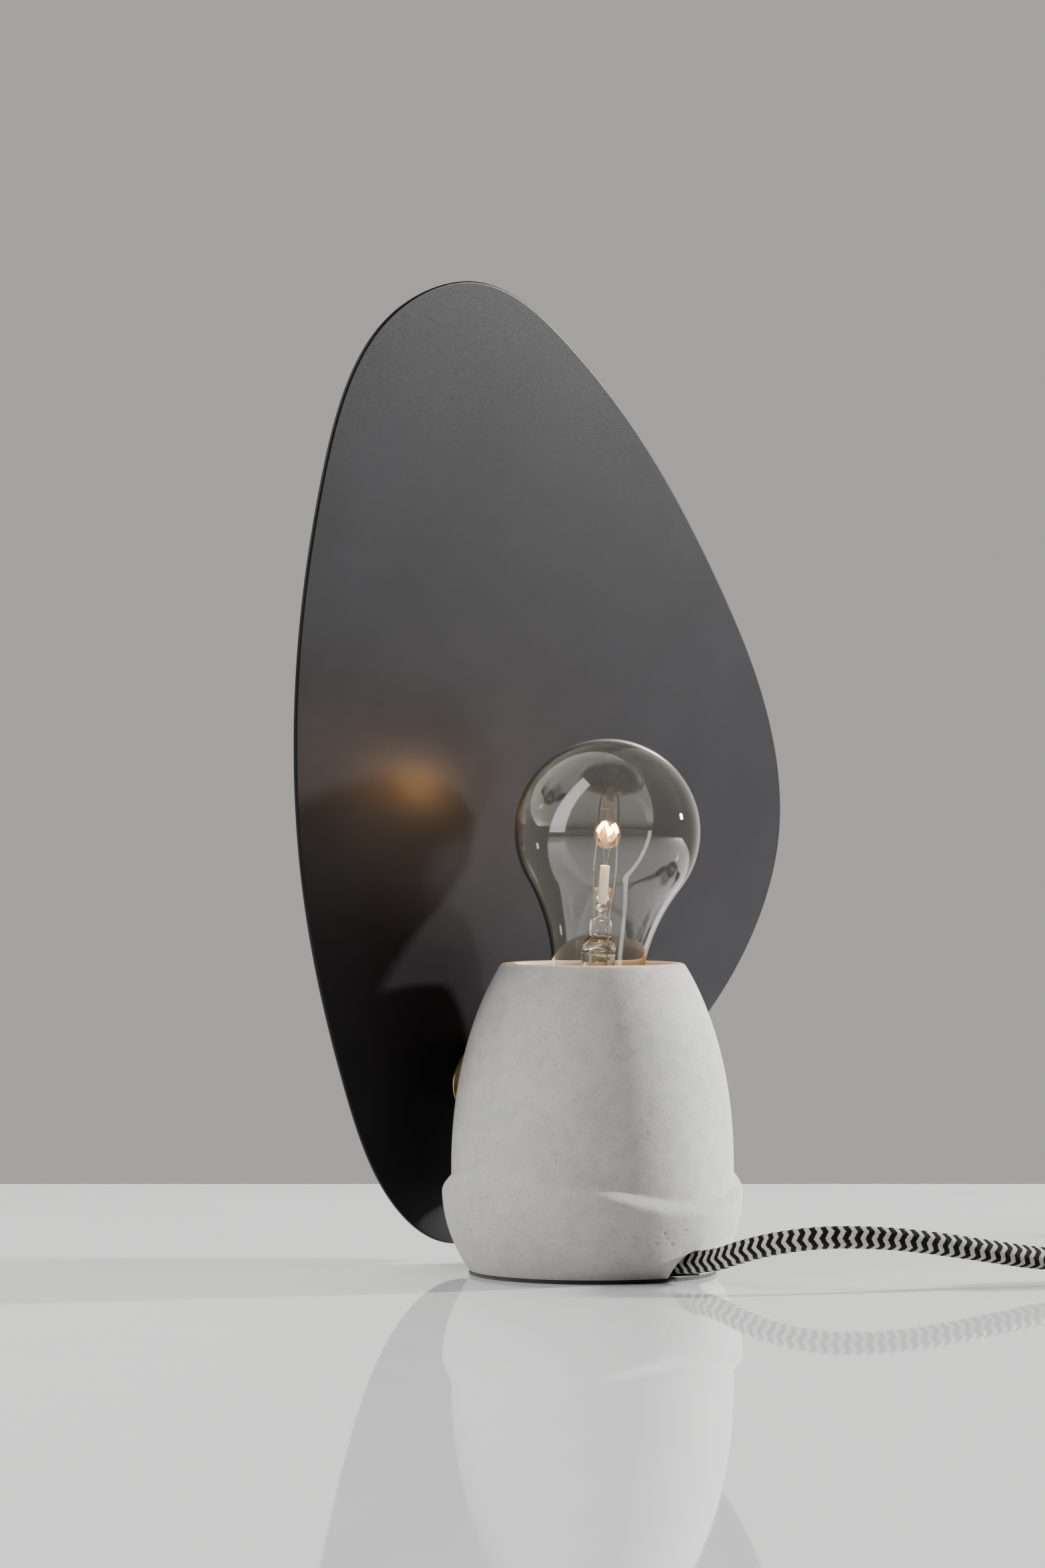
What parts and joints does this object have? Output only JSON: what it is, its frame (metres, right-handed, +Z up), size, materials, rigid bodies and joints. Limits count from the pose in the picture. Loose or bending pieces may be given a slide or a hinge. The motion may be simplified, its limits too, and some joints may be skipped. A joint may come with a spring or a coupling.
{
  "type": "table lamp with shade",
  "caption": "Concrete table lamp with an E27 bulb in its top, a leaning pebble-shaped black steel shade plate behind the bulb, and a black and white textile cord with switch and plug.",
  "frame": {"origin": "on the axis of the concrete foot, at the underside of the felt that the lamp stands on", "axes": "+Z up; +Y towards the side that the shade plate is fixed on; the cord leaves towards -Y"},
  "size_m": [0.3833, 0.2654, 0.3175],
  "materials": {
    "concrete": "matte",
    "felt": "matte",
    "fibre_board": "matte",
    "zinc_steel": "satin",
    "black_phenolic": "satin",
    "ceramic_core": "satin",
    "brass": "polished",
    "nickel_shell": "satin",
    "clear_glass": "gloss",
    "cap_aluminium": "satin",
    "black_glass": "gloss",
    "solder": "satin",
    "lead_wire": "satin",
    "tungsten": "satin",
    "black_paint": "satin",
    "wire_jacket": "matte",
    "textile_cord": "matte",
    "tie_fabric": "matte",
    "black_plastic": "satin",
    "rocker_plastic": "satin",
    "nickel_pin": "polished"
  },
  "bodies": {
    "base": {"concrete_body": "concrete", "felt_pad": "felt", "base_cover": "fibre_board", "nipple": "zinc_steel", "nipple_washer": "zinc_steel", "nipple_nut": "zinc_steel", "terminal_screws": "zinc_steel", "clamp_screws": "zinc_steel", "switch_screws": "zinc_steel", "shade_stud": "zinc_steel", "rocker_pin": "zinc_steel", "holder_cap": "black_phenolic", "holder_body": "black_phenolic", "contact_core": "ceramic_core", "front_washer": "brass", "rear_washer": "brass", "boss_insert": "brass", "centre_contact": "brass", "side_contact": "brass", "switch_contacts": "brass", "screw_shell": "nickel_shell", "core_wires": "wire_jacket", "cord_lead": "textile_cord", "cord_link": "textile_cord", "cord_coil": "textile_cord", "cord_tail": "textile_cord", "coil_ties": "tie_fabric", "cord_clamp": "black_plastic", "switch_lower": "black_plastic", "switch_upper": "black_plastic", "plug_body": "black_plastic", "plug_relief": "black_plastic", "pin_sleeves": "black_plastic", "plug_pins": "nickel_pin"},
    "shade": {"shade_plate": "black_paint"},
    "knob": {"thumb_knob": "brass"},
    "bulb_button": {"bulb_contact": "solder"},
    "bulb": {"glass_envelope": "clear_glass", "glass_stem": "clear_glass", "support_rod": "ceramic_core", "lead_wires": "lead_wire", "filament": "tungsten", "bulb_cap_shell": "cap_aluminium", "bulb_cap_insulator": "black_glass"},
    "rocker": {"switch_rocker": "rocker_plastic"}
  },
  "joints": [
    {"name": "shade_swivel", "type": "hinge", "parent": "base", "child": "shade", "pos_m": [0, 0.05172, 0.0612], "axis": [0, 0.9857, 0.1685], "range_deg": [-45, 35]},
    {"name": "knob_turn", "type": "hinge", "parent": "base", "child": "knob", "pos_m": [0, 0.05172, 0.0612], "axis": [0, 0.9857, 0.1685], "range_deg": [0, 90]},
    {"name": "bulb_travel", "type": "slide", "parent": "base", "child": "bulb_button", "axis": [0, -0.0976, 0.9952], "range_m": [0, 0.01815]},
    {"name": "bulb_turn", "type": "hinge", "parent": "bulb_button", "child": "bulb", "pos_m": [0, 0, 0.0765], "axis": [0, -0.0976, 0.9952], "range_deg": [0, 1800]},
    {"name": "switch_rock", "type": "hinge", "parent": "base", "child": "rocker", "pos_m": [0.10984, -0.15647, 0.012], "axis": [-0.454, -0.891, 0], "range_deg": [-14, 0]}
  ],
  "couplings": [
    {"joint": "bulb_travel", "follows": "bulb_turn", "m_per_rad": 0.00057757}
  ]
}
